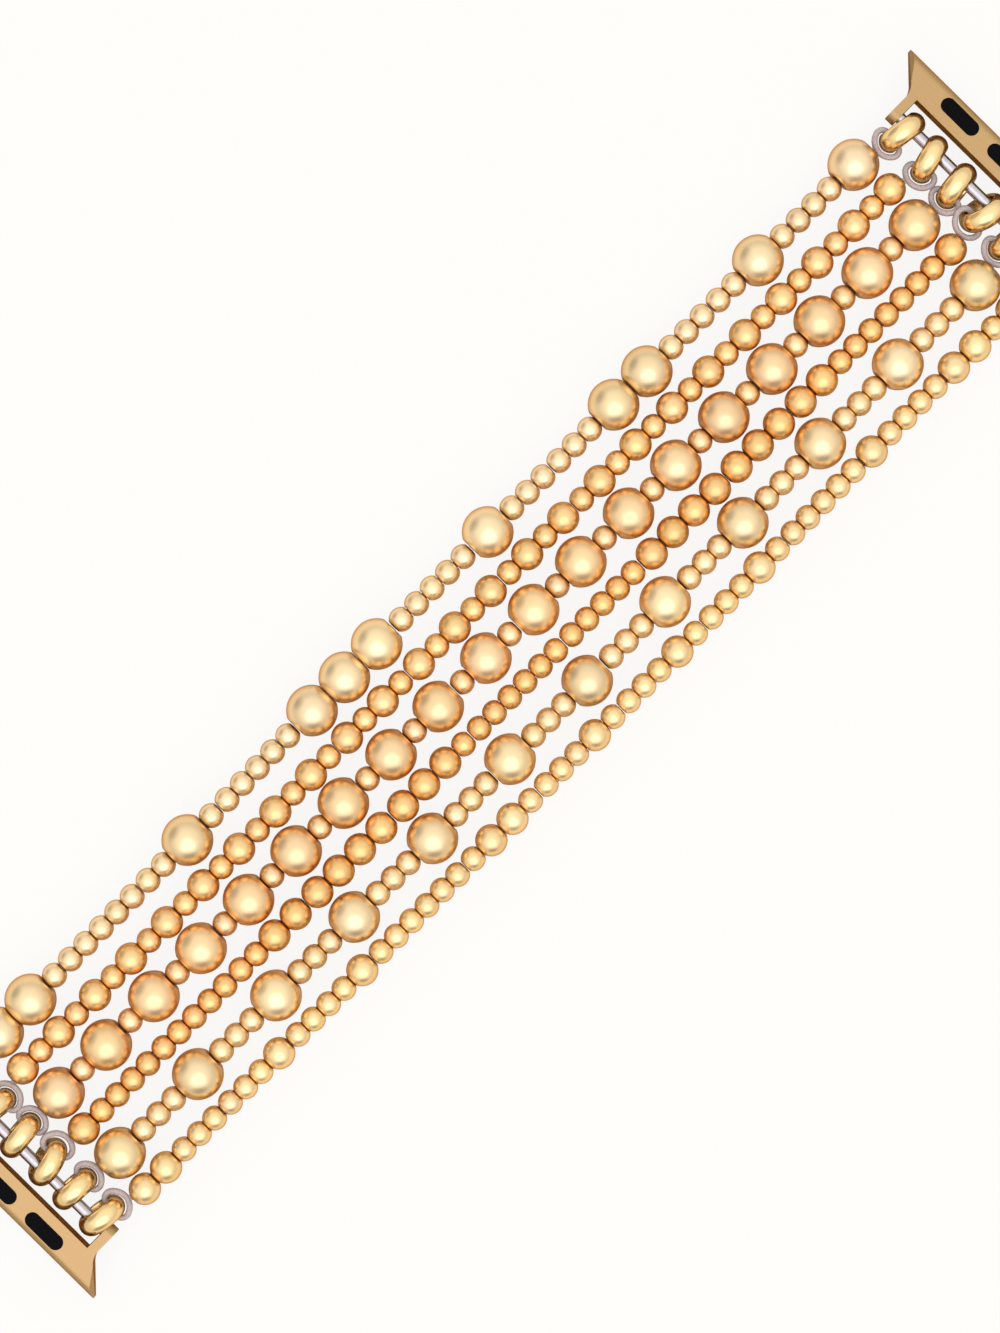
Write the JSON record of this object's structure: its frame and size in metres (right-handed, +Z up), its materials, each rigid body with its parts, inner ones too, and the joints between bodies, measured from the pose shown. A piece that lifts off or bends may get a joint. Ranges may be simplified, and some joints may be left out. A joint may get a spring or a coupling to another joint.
{
  "type": "bead watch band",
  "caption": "Stretch watch band of gold beads on clear elastic cord, with gold rings on a cross pin and a slide-in end bar at each end.",
  "frame": {"origin": "middle of the band, on the surface that it lies on", "axes": "+X along the band, +Y across it, +Z up towards the wrist side"},
  "size_m": [0.1688, 0.034, 0.006],
  "materials": {
    "satin_gold": "satin gold plating on turned brass",
    "polished_gold": "polished gold plating",
    "plated_bar": "satin gold plating on stainless steel",
    "steel": "polished stainless steel",
    "clear_elastic": "clear elastic cord, slightly milky",
    "pad_rubber": "matt black rubber"
  },
  "bodies": {
    "row_6": {"large_beads_6": "satin_gold", "medium_beads_6": "satin_gold", "small_beads_6": "satin_gold", "elastic_cords_6": "clear_elastic"},
    "cords_7": {"elastic_cords_7": "clear_elastic"},
    "row_7": {"large_beads_7": "satin_gold", "medium_beads_7": "satin_gold", "small_beads_7": "satin_gold"},
    "cords_8": {"elastic_cords_8": "clear_elastic"},
    "row_8": {"large_beads_8": "satin_gold", "medium_beads_8": "satin_gold", "small_beads_8": "satin_gold"},
    "cords_9": {"elastic_cords_9": "clear_elastic"},
    "row_9": {"large_beads_9": "satin_gold", "medium_beads_9": "satin_gold", "small_beads_9": "satin_gold"},
    "cords_10": {"elastic_cords_10": "clear_elastic"},
    "row_10": {"large_beads_10": "satin_gold", "medium_beads_10": "satin_gold", "small_beads_10": "satin_gold"},
    "cords_11": {"elastic_cords_11": "clear_elastic"},
    "row_11": {"large_beads_11": "satin_gold", "medium_beads_11": "satin_gold", "small_beads_11": "satin_gold", "end_loops_right": "clear_elastic"},
    "cords_5": {"elastic_cords_5": "clear_elastic"},
    "row_5": {"large_beads_5": "satin_gold", "medium_beads_5": "satin_gold", "small_beads_5": "satin_gold"},
    "cords_4": {"elastic_cords_4": "clear_elastic"},
    "row_4": {"large_beads_4": "satin_gold", "medium_beads_4": "satin_gold", "small_beads_4": "satin_gold"},
    "cords_3": {"elastic_cords_3": "clear_elastic"},
    "row_3": {"large_beads_3": "satin_gold", "medium_beads_3": "satin_gold", "small_beads_3": "satin_gold"},
    "cords_2": {"elastic_cords_2": "clear_elastic"},
    "row_2": {"large_beads_2": "satin_gold", "medium_beads_2": "satin_gold", "small_beads_2": "satin_gold"},
    "cords_1": {"elastic_cords_1": "clear_elastic"},
    "row_1": {"large_beads_1": "satin_gold", "medium_beads_1": "satin_gold", "small_beads_1": "satin_gold", "end_loops_left": "clear_elastic"},
    "rings_right": {"end_rings_right": "polished_gold"},
    "bar_right": {"end_bar_right": "plated_bar", "cross_pin_right": "steel", "pin_screws_right": "steel", "grip_pads_right": "pad_rubber"},
    "rings_left": {"end_rings_left": "polished_gold"},
    "bar_left": {"end_bar_left": "plated_bar", "cross_pin_left": "steel", "pin_screws_left": "steel", "grip_pads_left": "pad_rubber"}
  },
  "joints": [
    {"name": "bend_7", "type": "hinge", "parent": "row_6", "child": "cords_7", "pos_m": [0.00664, 0, 0.0042], "axis": [0, -1, 0], "range_deg": [0, 22]},
    {"name": "stretch_7", "type": "slide", "parent": "cords_7", "child": "row_7", "axis": [1, 0, 0], "range_m": [0, 0.0025], "stiffness_N_per_m": 1500},
    {"name": "bend_8", "type": "hinge", "parent": "row_7", "child": "cords_8", "pos_m": [0.01991, 0, 0.0042], "axis": [0, -1, 0], "range_deg": [0, 22]},
    {"name": "stretch_8", "type": "slide", "parent": "cords_8", "child": "row_8", "axis": [1, 0, 0], "range_m": [0, 0.0025], "stiffness_N_per_m": 1500},
    {"name": "bend_9", "type": "hinge", "parent": "row_8", "child": "cords_9", "pos_m": [0.03318, 0, 0.0042], "axis": [0, -1, 0], "range_deg": [0, 22]},
    {"name": "stretch_9", "type": "slide", "parent": "cords_9", "child": "row_9", "axis": [1, 0, 0], "range_m": [0, 0.0025], "stiffness_N_per_m": 1500},
    {"name": "bend_10", "type": "hinge", "parent": "row_9", "child": "cords_10", "pos_m": [0.04646, 0, 0.0042], "axis": [0, -1, 0], "range_deg": [0, 22]},
    {"name": "stretch_10", "type": "slide", "parent": "cords_10", "child": "row_10", "axis": [1, 0, 0], "range_m": [0, 0.0025], "stiffness_N_per_m": 1500},
    {"name": "bend_11", "type": "hinge", "parent": "row_10", "child": "cords_11", "pos_m": [0.05973, 0, 0.0042], "axis": [0, -1, 0], "range_deg": [0, 22]},
    {"name": "stretch_11", "type": "slide", "parent": "cords_11", "child": "row_11", "axis": [1, 0, 0], "range_m": [0, 0.0025], "stiffness_N_per_m": 1500},
    {"name": "bend_5", "type": "hinge", "parent": "row_6", "child": "cords_5", "pos_m": [-0.00664, 0, 0.0042], "axis": [0, 1, 0], "range_deg": [0, 22]},
    {"name": "stretch_5", "type": "slide", "parent": "cords_5", "child": "row_5", "axis": [-1, 0, 0], "range_m": [0, 0.0025], "stiffness_N_per_m": 1500},
    {"name": "bend_4", "type": "hinge", "parent": "row_5", "child": "cords_4", "pos_m": [-0.01991, 0, 0.0042], "axis": [0, 1, 0], "range_deg": [0, 22]},
    {"name": "stretch_4", "type": "slide", "parent": "cords_4", "child": "row_4", "axis": [-1, 0, 0], "range_m": [0, 0.0025], "stiffness_N_per_m": 1500},
    {"name": "bend_3", "type": "hinge", "parent": "row_4", "child": "cords_3", "pos_m": [-0.03318, 0, 0.0042], "axis": [0, 1, 0], "range_deg": [0, 22]},
    {"name": "stretch_3", "type": "slide", "parent": "cords_3", "child": "row_3", "axis": [-1, 0, 0], "range_m": [0, 0.0025], "stiffness_N_per_m": 1500},
    {"name": "bend_2", "type": "hinge", "parent": "row_3", "child": "cords_2", "pos_m": [-0.04646, 0, 0.0042], "axis": [0, 1, 0], "range_deg": [0, 22]},
    {"name": "stretch_2", "type": "slide", "parent": "cords_2", "child": "row_2", "axis": [-1, 0, 0], "range_m": [0, 0.0025], "stiffness_N_per_m": 1500},
    {"name": "bend_1", "type": "hinge", "parent": "row_2", "child": "cords_1", "pos_m": [-0.05973, 0, 0.0042], "axis": [0, 1, 0], "range_deg": [0, 22]},
    {"name": "stretch_1", "type": "slide", "parent": "cords_1", "child": "row_1", "axis": [-1, 0, 0], "range_m": [0, 0.0025], "stiffness_N_per_m": 1500},
    {"name": "ring_swing_right", "type": "hinge", "parent": "row_11", "child": "rings_right", "pos_m": [0.07452, 0, 0.003], "axis": [0, -1, 0], "range_deg": [-18, 18]},
    {"name": "bar_swivel_right", "type": "hinge", "parent": "rings_right", "child": "bar_right", "pos_m": [0.078, 0, 0.003], "axis": [0, -1, 0], "range_deg": [-60, 60]},
    {"name": "ring_swing_left", "type": "hinge", "parent": "row_1", "child": "rings_left", "pos_m": [-0.07452, 0, 0.003], "axis": [0, 1, 0], "range_deg": [-18, 18]},
    {"name": "bar_swivel_left", "type": "hinge", "parent": "rings_left", "child": "bar_left", "pos_m": [-0.078, 0, 0.003], "axis": [0, 1, 0], "range_deg": [-60, 60]}
  ],
  "couplings": [
    {"joint": "stretch_8", "follows": "stretch_7", "ratio": 1},
    {"joint": "stretch_9", "follows": "stretch_7", "ratio": 1},
    {"joint": "stretch_10", "follows": "stretch_7", "ratio": 1},
    {"joint": "stretch_11", "follows": "stretch_7", "ratio": 1},
    {"joint": "stretch_5", "follows": "stretch_7", "ratio": 1},
    {"joint": "stretch_4", "follows": "stretch_7", "ratio": 1},
    {"joint": "stretch_3", "follows": "stretch_7", "ratio": 1},
    {"joint": "stretch_2", "follows": "stretch_7", "ratio": 1},
    {"joint": "stretch_1", "follows": "stretch_7", "ratio": 1}
  ]
}
